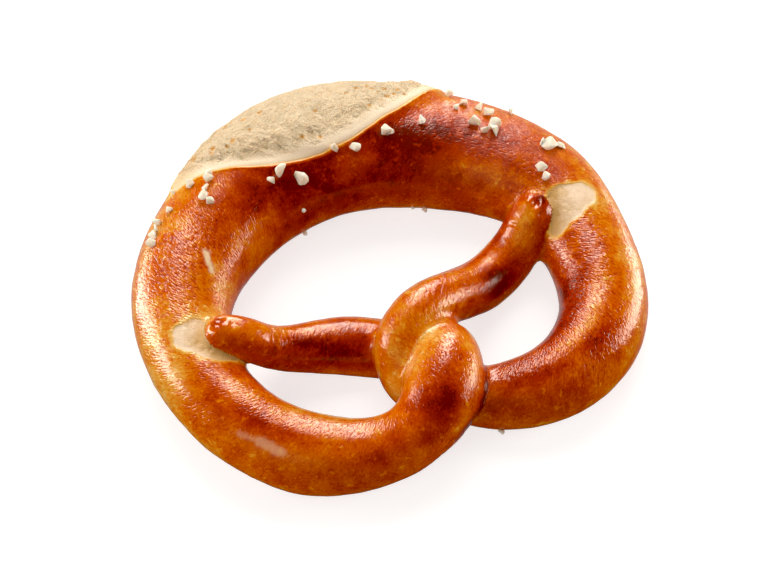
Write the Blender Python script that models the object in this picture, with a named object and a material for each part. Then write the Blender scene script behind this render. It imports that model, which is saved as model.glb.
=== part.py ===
"""Soft pretzel: one rope of dough, twisted once, with its two ends pressed onto the loop, baked into one piece.

The rope is lofted along one smooth route, from its left tip round to its right tip. It rests on the table plane
z = 0 with its belly at +Y, and the belly's outer side has burst open along one long split.
Metres, +Z up, origin under the middle of the pretzel.
"""

import math

import bmesh
import bpy
import numpy as np
from mathutils import Vector

MM = 0.001

# Points that the rope runs through: x and y of its middle, z of its crown, and its width (mm).
ROUTE = (
    (-62.5, 2.5, 28.5, 12),  # left tip, on the loop's left side
    (-54.5, -2.5, 28.5, 13),
    (-44.5, -6.5, 21, 14.5),  # neck where the left arm comes down off the loop
    (-22.5, -11.5, 15.5, 19),  # left arm, thickest
    (-3, -22, 15.5, 19.5),  # under the right arm
    (4, -31, 24, 20),  # knob, where the left arm turns back towards the loop
    (0, -42, 30, 24),
    (-8, -50.5, 28, 25),  # over the right arm
    (-19, -54.5, 24, 21.5),
    (-41, -49, 22.5, 25.5),  # loop, front left
    (-60, -32, 23.5, 26),
    (-68.5, -4.5, 24.5, 27.5),  # loop, left side
    (-64, 20, 26, 32.5),
    (-42, 44, 28, 39.5),
    (-9, 56, 31, 46),  # belly, the thickest of the rope
    (24, 48.5, 30, 43),
    (48, 33, 28, 39.5),
    (62, 14, 26, 34.5),
    (65, -10.5, 24, 30),  # loop, right side
    (58.5, -36.5, 23, 28.5),
    (39.5, -52, 22.5, 26),
    (16, -51, 19, 22),  # loop, front right
    (2.5, -43, 16, 18),  # under the left arm
    (-8, -33, 18, 18.5),
    (-7, -24, 24.5, 17.5),
    (1.5, -18, 27, 17.5),  # over the left arm
    (13, -14, 23, 17.5),
    (31, -8.5, 14.5, 17.5),  # right arm
    (41.5, -4.5, 17, 17),
    (51, 0.5, 25, 15),
    (57, 4.5, 28.5, 13),  # right tip, on the loop's right side
)

# Full height of the rope before the table flattens it: thin rope is nearly round, thick rope spreads.
ROUND_SHARE = 0.93
SPREAD_HEIGHT = 9 * MM
SPREAD_SHARE = 0.58

# Middle of the whole pretzel in the route's own x and y.
MIDDLE_X = -1.0 * MM
MIDDLE_Y = 6.9 * MM

# The split in the belly, by distance along the rope and by angle from the crown towards the outer side.
SPLIT_FROM = 256 * MM
SPLIT_TO = 352 * MM
BULGE_TO = 342 * MM  # from here to its right end the torn crumb lies level with the crust
SPLIT_TIPS_DEG = 62
SPLIT_LOWER_DEG = -28
SPLIT_UPPER_DEG = 84
SPLIT_BULGE = 3.2 * MM
SPLIT_TROUGH = 1.6 * MM  # the torn crumb sinks again along its middle
TROUGH_AT = 0.42  # as a share of the way from the lower lip to the upper lip
TROUGH_WIDTH = 0.15

RING_STEP = 1.5 * MM
RING_POINTS = 60
CURVE_SAMPLES = 4000
VOXEL = 1.0 * MM
SMOOTH_TURNS = 4
FACES_KEPT = 8200
SMALLEST_CAP = 0.05  # the rings at the tips stop at this share of the full section
FLAT_CUT = 0.35 * MM  # cut away under the rope, so that what touches the table is one true plane
BLOCK_WIDTH = 0.4
BLOCK_HEIGHT = 0.1

CRUST_COLOUR = (0.33, 0.08, 0.012, 1)
CRUST_ROUGHNESS = 0.35


def clear_scene():
    for obj in list(bpy.data.objects):
        bpy.data.objects.remove(obj, do_unlink=True)


def spline(knots, values, at):
    """Natural cubic spline through the rows of values at the knots, read at the places in at."""
    count = len(knots)
    gap = np.diff(knots)[:, None]
    slope = np.diff(values, axis=0) / gap
    system = np.eye(count)
    right_side = np.zeros_like(values)
    for i in range(1, count - 1):
        system[i, i - 1 : i + 2] = gap[i - 1, 0], 2 * (gap[i - 1, 0] + gap[i, 0]), gap[i, 0]
        right_side[i] = 6 * (slope[i] - slope[i - 1])
    bend = np.linalg.solve(system, right_side)
    i = np.clip(np.searchsorted(knots, at) - 1, 0, count - 2)
    b = (at - knots[i])[:, None] / gap[i]
    a = 1 - b
    straight = a * values[i] + b * values[i + 1]
    return straight + ((a**3 - a) * bend[i] + (b**3 - b) * bend[i + 1]) * gap[i] ** 2 / 6


def rope():
    """Evenly spaced along the rope: distance from the left tip, middle, width and full height."""
    points = np.array(ROUTE, float) * MM
    points[:, :2] -= MIDDLE_X, MIDDLE_Y
    knots = np.concatenate([[0], np.cumsum(np.linalg.norm(np.diff(points[:, :3], axis=0), axis=1))])
    places = np.linspace(0, knots[-1], CURVE_SAMPLES)
    curve = spline(knots, points, places)
    steps = np.linalg.norm(np.diff(curve[:, :3], axis=0), axis=1)
    run = np.concatenate([[0], np.cumsum(steps)])
    even = np.linspace(0, run[-1], round(run[-1] / RING_STEP))
    x, y, crown, width = spline(knots, points, np.interp(even, run, places)).T
    height = np.minimum(width * ROUND_SHARE, SPREAD_HEIGHT + width * SPREAD_SHARE)
    return even, np.column_stack([x, y, crown - height / 2]), width, height


def split_rise(run, angle_deg):
    """How far the torn crumb of the split stands out from the rope's oval at this place on its skin."""
    along = (run - SPLIT_FROM) / (SPLIT_TO - SPLIT_FROM)
    if not 0 < along < 1:
        return 0.0
    opening = math.sin(math.pi * along)
    lower = SPLIT_TIPS_DEG + (SPLIT_LOWER_DEG - SPLIT_TIPS_DEG) * opening
    upper = SPLIT_TIPS_DEG + (SPLIT_UPPER_DEG - SPLIT_TIPS_DEG) * opening
    across = (angle_deg - lower) / (upper - lower)
    if not 0 < across < 1:
        return 0.0
    bulge = SPLIT_BULGE * math.sin(math.pi * across) ** 0.5
    trough = SPLIT_TROUGH * math.exp(-(((across - TROUGH_AT) / TROUGH_WIDTH) ** 2))
    bulged = (run - SPLIT_FROM) / (BULGE_TO - SPLIT_FROM)
    return (bulge - trough) * math.sin(math.pi * min(bulged, 1)) ** 0.4


def ring(run, middle, along, width, height, cap):
    """One cross-section of the rope: an oval, flat where it lies on the table."""
    side = along.cross(Vector((0, 0, 1))).normalized()
    up = side.cross(along).normalized()
    points = []
    for k in range(RING_POINTS):
        angle = 2 * math.pi * k / RING_POINTS
        rise = split_rise(run, math.degrees(math.atan2(-math.sin(angle), math.cos(angle))))
        sideways = (width / 2 + rise) * math.sin(angle) * cap
        upwards = (height / 2 + rise) * math.cos(angle) * cap
        point = middle + side * sideways + up * upwards
        point.z = max(point.z, -FLAT_CUT)
        points.append(point)
    return points


def rope_mesh():
    """The rope as one closed tube, which runs through itself at the twist and at the pressed-on ends."""
    run, middles, widths, heights = rope()
    tangents = np.gradient(middles, axis=0)
    mesh = bmesh.new()
    rings = []
    for i, middle in enumerate(middles):
        from_tip = min(run[i], run[-1] - run[i])
        radius = heights[i] / 2
        cap = math.sqrt(max(0.0, 1 - (1 - from_tip / radius) ** 2)) if from_tip < radius else 1.0
        if cap < SMALLEST_CAP:
            continue
        along = Vector(tangents[i]).normalized()
        points = ring(run[i], Vector(middle), along, widths[i], heights[i], cap)
        rings.append([mesh.verts.new(point) for point in points])
    for here, there in zip(rings, rings[1:]):
        for k in range(RING_POINTS):
            nxt = (k + 1) % RING_POINTS
            mesh.faces.new((here[k], here[nxt], there[nxt], there[k]))
    mesh.faces.new(list(reversed(rings[0])))
    mesh.faces.new(rings[-1])
    bmesh.ops.recalc_face_normals(mesh, faces=mesh.faces)
    data = bpy.data.meshes.new("pretzel")
    mesh.to_mesh(data)
    mesh.free()
    return data


def table_cutter():
    """A block whose top face is the plane that the pretzel's underside is cut to."""
    bpy.ops.mesh.primitive_cube_add(size=1, location=(0, 0, -BLOCK_HEIGHT / 2))
    block = bpy.context.object
    block.name = "table_cutter"
    block.scale = (BLOCK_WIDTH, BLOCK_WIDTH, BLOCK_HEIGHT)
    block.hide_render = True
    block.display_type = "WIRE"
    return block


def crust_material():
    material = bpy.data.materials.new("crust")
    material.use_nodes = True
    shader = material.node_tree.nodes["Principled BSDF"]
    shader.inputs["Base Color"].default_value = CRUST_COLOUR
    shader.inputs["Roughness"].default_value = CRUST_ROUGHNESS
    shader.inputs["Metallic"].default_value = 0.0
    return material


def pretzel():
    obj = bpy.data.objects.new("pretzel", rope_mesh())
    bpy.context.scene.collection.objects.link(obj)
    obj.data.materials.append(crust_material())

    fuse = obj.modifiers.new("fuse_strands", "REMESH")
    fuse.mode = "VOXEL"
    fuse.voxel_size = VOXEL
    fuse.use_smooth_shade = True

    soften = obj.modifiers.new("soften_seams", "SMOOTH")
    soften.factor = 0.5
    soften.iterations = SMOOTH_TURNS

    fine = obj.evaluated_get(bpy.context.evaluated_depsgraph_get())
    fine_triangles = 2 * len(fine.data.polygons)

    thin_out = obj.modifiers.new("thin_out", "DECIMATE")
    thin_out.ratio = FACES_KEPT / fine_triangles

    flatten = obj.modifiers.new("flat_underside", "BOOLEAN")
    flatten.operation = "DIFFERENCE"
    flatten.solver = "EXACT"
    flatten.object = table_cutter()


clear_scene()
pretzel()
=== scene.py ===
import math
import time

import bmesh
import bpy
import numpy as np
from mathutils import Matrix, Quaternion, Vector
from mathutils.bvhtree import BVHTree


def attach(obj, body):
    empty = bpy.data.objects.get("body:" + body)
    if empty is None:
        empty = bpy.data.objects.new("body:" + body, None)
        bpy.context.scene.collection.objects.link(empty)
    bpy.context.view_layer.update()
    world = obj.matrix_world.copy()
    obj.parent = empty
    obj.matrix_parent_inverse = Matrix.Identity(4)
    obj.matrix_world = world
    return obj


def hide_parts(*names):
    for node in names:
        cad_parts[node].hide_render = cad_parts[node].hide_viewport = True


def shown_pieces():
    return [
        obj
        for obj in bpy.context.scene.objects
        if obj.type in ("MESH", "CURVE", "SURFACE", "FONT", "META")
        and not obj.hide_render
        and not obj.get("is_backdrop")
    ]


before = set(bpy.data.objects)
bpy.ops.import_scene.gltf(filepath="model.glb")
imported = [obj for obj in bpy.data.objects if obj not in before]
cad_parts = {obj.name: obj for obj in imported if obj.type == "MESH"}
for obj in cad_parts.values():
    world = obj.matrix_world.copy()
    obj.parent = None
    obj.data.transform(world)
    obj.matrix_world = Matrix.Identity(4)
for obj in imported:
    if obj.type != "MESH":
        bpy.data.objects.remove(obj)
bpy.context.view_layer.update()  # one node, the pretzel's plain solid
started = time.perf_counter()
mm = 0.001  # shapes are worked out in mm and made in metres


def report(stage):
    print(f"pretzel: {stage}, {time.perf_counter() - started:.1f} s")


# the rope of dough, from the left tip to the right tip: x and y of its middle, height of its crown, width
rope = {
    "route": (
        (-62.5, 2.5, 28.5, 12),  # left tip
        (-54.5, -2.5, 28.5, 13), (-44.5, -6.5, 21, 14.5),  # neck
        (-22.5, -11.5, 15.5, 19),  # left arm, thickest
        (-3, -22, 15.5, 19.5),  # under the right arm
        (4, -31, 24, 20),  # knob
        (0, -42, 30, 24), (-8, -50.5, 28, 25),  # over the right arm
        (-19, -54.5, 24, 21.5), (-41, -49, 22.5, 25.5),  # loop, front left
        (-60, -32, 23.5, 26), (-68.5, -4.5, 24.5, 27.5),  # loop, left side
        (-64, 20, 26, 32.5), (-42, 44, 28, 39.5), (-9, 56, 31, 46),  # belly
        (24, 48.5, 30, 43), (48, 33, 28, 39.5), (62, 14, 26, 34.5), (65, -10.5, 24, 30),  # loop, right side
        (58.5, -36.5, 23, 28.5), (39.5, -52, 22.5, 26), (16, -51, 19, 22),  # loop, front right
        (2.5, -43, 16, 18),  # under the left arm
        (-8, -33, 18, 18.5), (-7, -24, 24.5, 17.5), (1.5, -18, 27, 17.5),  # over the left arm
        (13, -14, 23, 17.5), (31, -8.5, 14.5, 17.5),  # right arm
        (41.5, -4.5, 17, 17), (51, 0.5, 25, 15), (57, 4.5, 28.5, 13),  # right tip
    ),
    "middle": (-1.0, 6.9),  # taken off every x and y, so that the pretzel lies centred
    "roundShare": 0.93,  # height over width of the thin stretches
    "spreadHeight": 9.0,  # the thick ones spread: this height and a share of the width
    "spreadShare": 0.58,
    "curveSamples": 4000,
    "ringStep": 1.0,
    "ringPoints": 84,
    "smallestCap": 0.05,
    "flatCut": 0.35,  # how much of the underside the tray flattens
    "voxel": 1.25,
    "smoothTurns": 4,
    "sameStrand": 28.0,  # stretches further apart than this along the rope are two strands
    "farOff": 99,
    "twist": ((78, 130), (500, 550)),  # runs of the two stretches that grow together in the twist
    "twistReach": 2.6, "twistTurns": 40,
    "twistFade": 3, "twistWithin": 100,  # mm past the ends of those runs, degrees off the crown
}

# the split on the belly, where the crust burst and the crumb rose: runs along the rope, angles round it
split = {
    "from": 256.0, "to": 352.0, "bulgeTo": 342.0, "crumbTo": 340.0,
    "tipsDeg": 62.0, "lowerDeg": -28.0, "upperDeg": 84.0,
    "bulge": 3.0, "trough": 0.1, "troughAt": 0.42, "troughWidth": 0.18,
    "troughFromLip": 8.5, "troughReach": 5.0,
    "lowerLip": (  # run and angle
        (254, 62), (260, 44), (268, 19), (276, -9), (286, -28), (296, -34),
        (306, -31), (314, -23), (324, -2), (331.5, 18), (337, 41), (340, 54), (352, 80),
    ),
    "ragged": ((5.0, 0.35, 3), (1.6, 0.12, 4)),  # its edges: size, depth, seed
    "inside": (0, 0.5),  # a soft step, from and to, in mm inside its edge
    "smoothBand": 3.4, "bandRise": 0.08,  # stretched skin inside the lower lip, before the torn part
    "lipStep": 0.35, "lipStepWidth": 0.5,
    "tornFrom": (-1.0, 4.5),  # past the smooth band
    "tornRagged": ((3.6, 1.3, 26), (1.2, 0.5, 27)),
    "tornBelowTop": (0.3, 1.6), "tornInside": (0.4, 1.6),
    "drift": 3.0,  # size of the clouds that bend the shreds and push the bubbles about
    "ledgeLong": 9.0, "ledgeWide": 5.4, "ledgeRise": 0.24, "ledgeLean": 0.12, "ledgeSharp": 0.75,
    "ledgeLow": 0.35, "ledgeFull": (1, 7),  # lower beside the upper edge, full at 7 mm
    "shredLong": 4.2, "shredWide": 0.8, "shredRise": 0.42, "shredLean": 0.45,
    "shredOnTop": 0.25,  # share of it outside the trough
    "bubbleLong": 2.9, "bubbleWide": 2.1, "bubbleDepth": 0.38,
    "frothLong": 1.25, "frothWide": 0.95, "frothDepth": 0.28,
    "pits": (  # run, angle, radius: toasted pits along the upper edge and at the right end
        (272.5, 39.4, 0.9), (271, 36.5, 0.7), (275.1, 27.9, 0.7), (277.5, 27.4, 0.9), (283.3, 24.7, 0.7),
        (284.6, 42.4, 1.0), (287, 43.7, 0.8), (289.2, 37.8, 0.8), (267.7, 53.7, 1.2), (282.1, 51.7, 0.7),
        (280.4, 51.9, 0.6), (316.4, 37.9, 0.8), (319.6, 40, 0.9), (320.8, 35.2, 0.7), (313.1, 29.4, 0.7),
        (324.7, 35.7, 0.8), (325.2, 23.4, 0.9), (327.2, 28, 0.8), (328.4, 35.6, 0.7), (302.8, 11.3, 0.7),
        (319.4, 9.9, 0.7), (301.2, -17.8, 0.8), (295.4, -11.9, 0.8), (322.6, 30.4, 0.6), (330.2, 29, 0.6),
        (290, 70, 0.9), (302, 74, 0.8), (311, 66, 0.9), (324, 60, 0.8), (276, 68, 0.8), (296, 60, 0.7),
    ),
    "pitDepth": 0.45, "pitEdge": (-1.25, -0.5), "pitRagged": ((1.1, 0.35, 30),),
    # how hollow each makes it, in the mask that colours the hollows lighter as painted light against their
    # shade and deepens their bump
    "hollowBase": 0.1, "hollowBubble": 0.8, "hollowFroth": 0.45, "hollowLedge": -0.25, "hollowShred": -0.35,
}


def smoothCurve(knots, values, at):  # natural cubic spline through the values
    count = len(knots)
    gap = np.diff(knots)[:, None]
    slope = np.diff(values, axis=0) / gap
    system = np.eye(count)
    rightSide = np.zeros_like(values)
    for i in range(1, count - 1):
        system[i, i - 1:i + 2] = gap[i - 1, 0], 2 * (gap[i - 1, 0] + gap[i, 0]), gap[i, 0]
        rightSide[i] = 6 * (slope[i] - slope[i - 1])
    bend = np.linalg.solve(system, rightSide)
    i = np.clip(np.searchsorted(knots, at) - 1, 0, count - 2)
    b = (at - knots[i])[:, None] / gap[i]
    a = 1 - b
    swing = ((a**3 - a) * bend[i] + (b**3 - b) * bend[i + 1]) * gap[i] ** 2 / 6
    return a * values[i] + b * values[i + 1] + swing


def layRope():  # even stations along the rope, with the frame that its rings stand in
    points = np.array(rope["route"], float)
    points[:, :2] -= rope["middle"]
    knots = np.concatenate([[0], np.cumsum(np.linalg.norm(np.diff(points[:, :3], axis=0), axis=1))])
    places = np.linspace(0, knots[-1], rope["curveSamples"])
    curve = smoothCurve(knots, points, places)
    run = np.concatenate([[0], np.cumsum(np.linalg.norm(np.diff(curve[:, :3], axis=0), axis=1))])
    even = np.linspace(0, run[-1], round(run[-1] / rope["ringStep"]))
    x, y, crown, width = smoothCurve(knots, points, np.interp(even, run, places)).T
    height = np.minimum(width * rope["roundShare"], rope["spreadHeight"] + width * rope["spreadShare"])
    middle = np.stack([x, y, crown - height / 2], 1)
    along = np.gradient(middle, axis=0)
    along /= np.linalg.norm(along, axis=1)[:, None]
    outer = np.cross((0, 0, 1), along)
    outer /= np.linalg.norm(outer, axis=1)[:, None]
    up = np.cross(along, outer)
    return {"run": even, "middle": middle, "along": along, "outer": outer, "up": up,
            "width": width, "height": height}


def splitRise(run, angle):  # the risen crumb's coarse shape: a bulge with a trough along it
    along = np.clip((run - split["from"]) / (split["to"] - split["from"]), 0, 1)
    opening = np.sin(math.pi * along)
    lower = split["tipsDeg"] + (split["lowerDeg"] - split["tipsDeg"]) * opening
    upper = split["tipsDeg"] + (split["upperDeg"] - split["tipsDeg"]) * opening
    across = np.clip((angle - lower) / np.maximum(upper - lower, 1e-6), 0, 1)
    bulge = split["bulge"] * np.sin(math.pi * across) ** 0.5
    trough = split["trough"] * np.exp(-(((across - split["troughAt"]) / split["troughWidth"]) ** 2))
    bulged = np.clip((run - split["from"]) / (split["bulgeTo"] - split["from"]), 0, 1)
    inside = (along > 0) & (along < 1) & (across > 0) & (across < 1)
    return np.where(inside, (bulge - trough) * np.sin(math.pi * bulged) ** 0.4, 0)


def standIn(name, data):  # an object of the scene
    thing = bpy.data.objects.new(name, data)
    bpy.context.scene.collection.objects.link(thing)
    return thing


def settle(thing):  # takes its modifiers into its mesh
    mesh = bpy.data.meshes.new_from_object(thing.evaluated_get(bpy.context.evaluated_depsgraph_get()))
    thing.modifiers.clear()
    thing.data = mesh
    return mesh


def readMesh(mesh):  # places and normals, in mm
    count = len(mesh.vertices)
    points = np.empty(count * 3, np.float32)
    normals = np.empty(count * 3, np.float32)
    mesh.vertices.foreach_get("co", points)
    mesh.vertex_normals.foreach_get("vector", normals)
    return points.reshape(-1, 3).astype(float) / mm, normals.reshape(-1, 3).astype(float)


def writeMesh(mesh, points):
    mesh.vertices.foreach_set("co", (points * mm).astype(np.float32).ravel())
    mesh.update()


def rollRope(laid):  # the rope as one tube with round ends
    count, sides = len(laid["run"]), rope["ringPoints"]
    angle = np.arange(sides) * 2 * math.pi / sides
    degrees = np.degrees(np.arctan2(np.sin(angle), np.cos(angle)))
    fromTip = np.minimum(laid["run"], laid["run"][-1] - laid["run"])
    radius = laid["height"] / 2
    cap = np.sqrt(1 - np.clip(1 - fromTip / radius, 0, 1) ** 2)
    cap = np.maximum(cap, rope["smallestCap"])[:, None]
    rise = splitRise(laid["run"][:, None], degrees[None, :])
    sideways = (laid["width"][:, None] / 2 + rise) * np.sin(angle) * cap
    upward = (laid["height"][:, None] / 2 + rise) * np.cos(angle) * cap
    points = (laid["middle"][:, None] + laid["outer"][:, None] * sideways[..., None]
              + laid["up"][:, None] * upward[..., None])
    points[..., 2] = np.maximum(points[..., 2], -rope["flatCut"])
    ring = np.arange(sides)
    following = (ring + 1) % sides
    faces = []
    for i in range(count - 1):
        start, end = i * sides, (i + 1) * sides
        faces += np.stack([start + following, start + ring, end + ring, end + following], 1).tolist()
    faces += [ring.tolist(), ((count - 1) * sides + ring[::-1]).tolist()]
    mesh = bpy.data.meshes.new("rolledRope")
    mesh.from_pydata((points.reshape(-1, 3) * mm).tolist(), [], faces)
    return mesh


def proveRope(mesh):  # the strands grow together where they touch
    dough = standIn("pretzelBody", mesh)
    fuse = dough.modifiers.new("fuseStrands", "REMESH")
    fuse.mode = "VOXEL"
    fuse.voxel_size = rope["voxel"] * mm
    soften = dough.modifiers.new("softenSeams", "SMOOTH")
    soften.factor = 0.5
    soften.iterations = rope["smoothTurns"]
    settle(dough)
    return dough


def findOnRope(points, laid, step=2, batch=5000):
    # for every point: the run along its own strand, the angle round it, how far off the next strand's skin
    # is, and the run there
    fromTip = np.minimum(laid["run"], laid["run"][-1] - laid["run"])
    whole = fromTip >= laid["height"] / 2  # the round caps hang on the outermost whole rings
    rings = {name: values[whole][::step] for name, values in laid.items()}
    run, angle, apart, beside = (np.empty(len(points)) for _ in range(4))
    halfWidth, halfHeight = rings["width"] / 2, rings["height"] / 2
    base = {name: (rings["middle"] * rings[name]).sum(1) for name in ("along", "outer", "up")}
    for start in range(0, len(points), batch):
        some = points[start:start + batch]
        forward, sideways, upward = (some @ rings[name].T - base[name] for name in ("along", "outer", "up"))
        out = np.sqrt((sideways / halfWidth) ** 2 + (upward / halfHeight) ** 2 + (forward / halfHeight) ** 2)
        row = np.arange(len(some))
        own = out.argmin(1)
        elsewhere = np.abs(rings["run"] - rings["run"][own][:, None]) > rope["sameStrand"]
        other = np.where(elsewhere, out, rope["farOff"])
        nearest = other.argmin(1)
        run[start:start + batch] = rings["run"][own] + forward[row, own]
        angle[start:start + batch] = np.degrees(np.arctan2(sideways[row, own], upward[row, own]))
        apart[start:start + batch] = (out[row, nearest] - 1) * halfHeight[nearest]
        beside[start:start + batch] = rings["run"][nearest]
    return run, angle, apart, beside


# marks on the skin, each at a run along the rope and an angle round it, sizes in mm
marks = {
    "dents": (  # run, angle, radius, depth
        # pinched left tip
        (4.5, 14, 1.3, 0.9), (3.0, -14, 1.2, 0.7), (7.5, 2, 0.9, 0.45), (2.0, 40, 1.1, 0.5),
        # right tip
        (599.0, -4, 1.6, 1.1), (596.5, -34, 1.0, 0.6), (602.0, 24, 1.2, 0.6), (592.5, -52, 1.1, 0.45),
        (112.0, 92, 7.5, 1.9),  # the knob's outer side
        (118.0, 60, 5.0, 0.35), (161.0, 26, 6.0, 0.4), (222.0, 44, 7.0, 0.5), (246.0, -2, 6.0, 0.4),
        (352.0, -8, 7.0, 0.4), (364.0, 24, 6.0, 0.45), (432.0, -20, 7.0, 0.45), (458.0, 46, 6.0, 0.4),
    ),
    "swells": (  # run, angle, radius, height
        (6.0, -6, 1.6, 0.35), (598.0, 16, 1.6, 0.5), (594.0, -20, 1.3, 0.35), (3.5, 28, 1.0, 0.3),
        (333.0, 56, 4.6, 1.1), (240.0, 22, 6.0, 0.45), (213.0, -52, 5.0, 0.3), (340.0, -30, 8.0, 0.35),
        (372.0, -22, 6.0, 0.4), (418.0, 16, 7.0, 0.4), (444.0, -44, 7.0, 0.35), (176.0, -8, 6.0, 0.35),
        (142.0, 48, 7.0, 0.4),
    ),
    "scuffsAndPaintedGlints": (  # run and angle of both ends, half width, how pale: the first is a pale scratch, the other two are a painted highlight, a glossy streak put into the colour of the front left loop
        (239.4, -24, 232.6, -38, 1.0, 1.0), (171.5, 37, 166.0, 33, 0.8, 0.22),
        (166.0, 33, 159.5, 36, 1.5, 0.36),
    ),
    # how they fade and how ragged they are, as shares of the half width
    "scuffAndGlintEdge": (-0.4, 0.5), "scuffAndGlintRagged": ((1.2, 0.15, 52), (2.6, 0.3, 53)),
    "creases": (  # run, from angle, to angle, lean along the rope, width, depth
        (19.5, -75, 40, -2.5, 0.7, 0.8), (23.0, -30, 45, 1.5, 0.6, 0.22), (27.0, -100, -40, 2.0, 0.6, 0.2),
        (533.0, -40, 10, 3.5, 0.6, 0.16), (535.6, -36, 4, 3.5, 0.5, 0.16), (538.0, -44, 14, 4.0, 0.5, 0.2),
        (541.0, -34, 10, 4.0, 0.5, 0.14), (549.0, 20, 60, 6.0, 0.7, 0.3), (556.0, 26, 66, 5.0, 0.6, 0.22),
        (588.0, -90, -46, -2.0, 0.7, 0.35), (584.5, -40, 30, 2.0, 0.6, 0.22),
        (590.5, -14, 46, -2.0, 0.6, 0.25), (112.0, -60, -8, 5.0, 0.7, 0.16),
        (484.0, 10, 70, 3.0, 0.7, 0.22), (488.0, 0, 60, 3.0, 0.6, 0.2),
    ),
    "creaseEnds": 0.3,  # share of the length over which each end fades
    "creaseRim": 0.45, "creaseRimAt": 1.7,  # the raised skin beside it, in depths and widths
    "creaseWaver": 0.9, "waverSize": 4.0,
}

# pale windows on the loop, where the tips were pressed on and pulled away: outlines in plan
windows = {
    "left": {"near": 202.0, "outline": (
        (-72.6, -4.6), (-71.3, -1.3), (-67.2, 0.2), (-61.0, 0.2), (-56.0, -7.0),
        (-50.0, -16.0), (-53.0, -17.7), (-59.5, -17.2), (-65.0, -15.2), (-69.5, -10.6), (-72.0, -8.2),
    )},
    "right": {"near": 398.0, "outline": (
        (60.0, -2.8), (65.5, -2.7), (70.0, -4.4), (73.4, -6.6), (73.8, -10.0), (71.4, -13.4),
        (67.8, -13.6), (64.0, -16.2), (58.0, -18.2), (53.6, -17.6), (54.0, -14.6), (56.0, -8.0),
    )},
    "reach": 26.0,  # how far along the loop they may lie from that run
    "within": 100.0, "above": 9.0,  # degrees off the crown, height over the table
    "farOutside": -9.0,
    "ragged": ((3.4, 0.8, 8), (1.2, 0.4, 9)),  # its edge: size, depth, seed
    "sunk": 0.2, "edge": (-0.1, 0.9), "flattened": 0.3,
    "rim": 0.07, "rimWidth": 0.5,
    "rubReach": 4.6, "rubAll": 0.25,  # rubbed beside the tip, and this much everywhere
    "pitDepth": 0.3, "pitSize": 1.7, "pitEdge": (0.1, 0.7),
}

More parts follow.
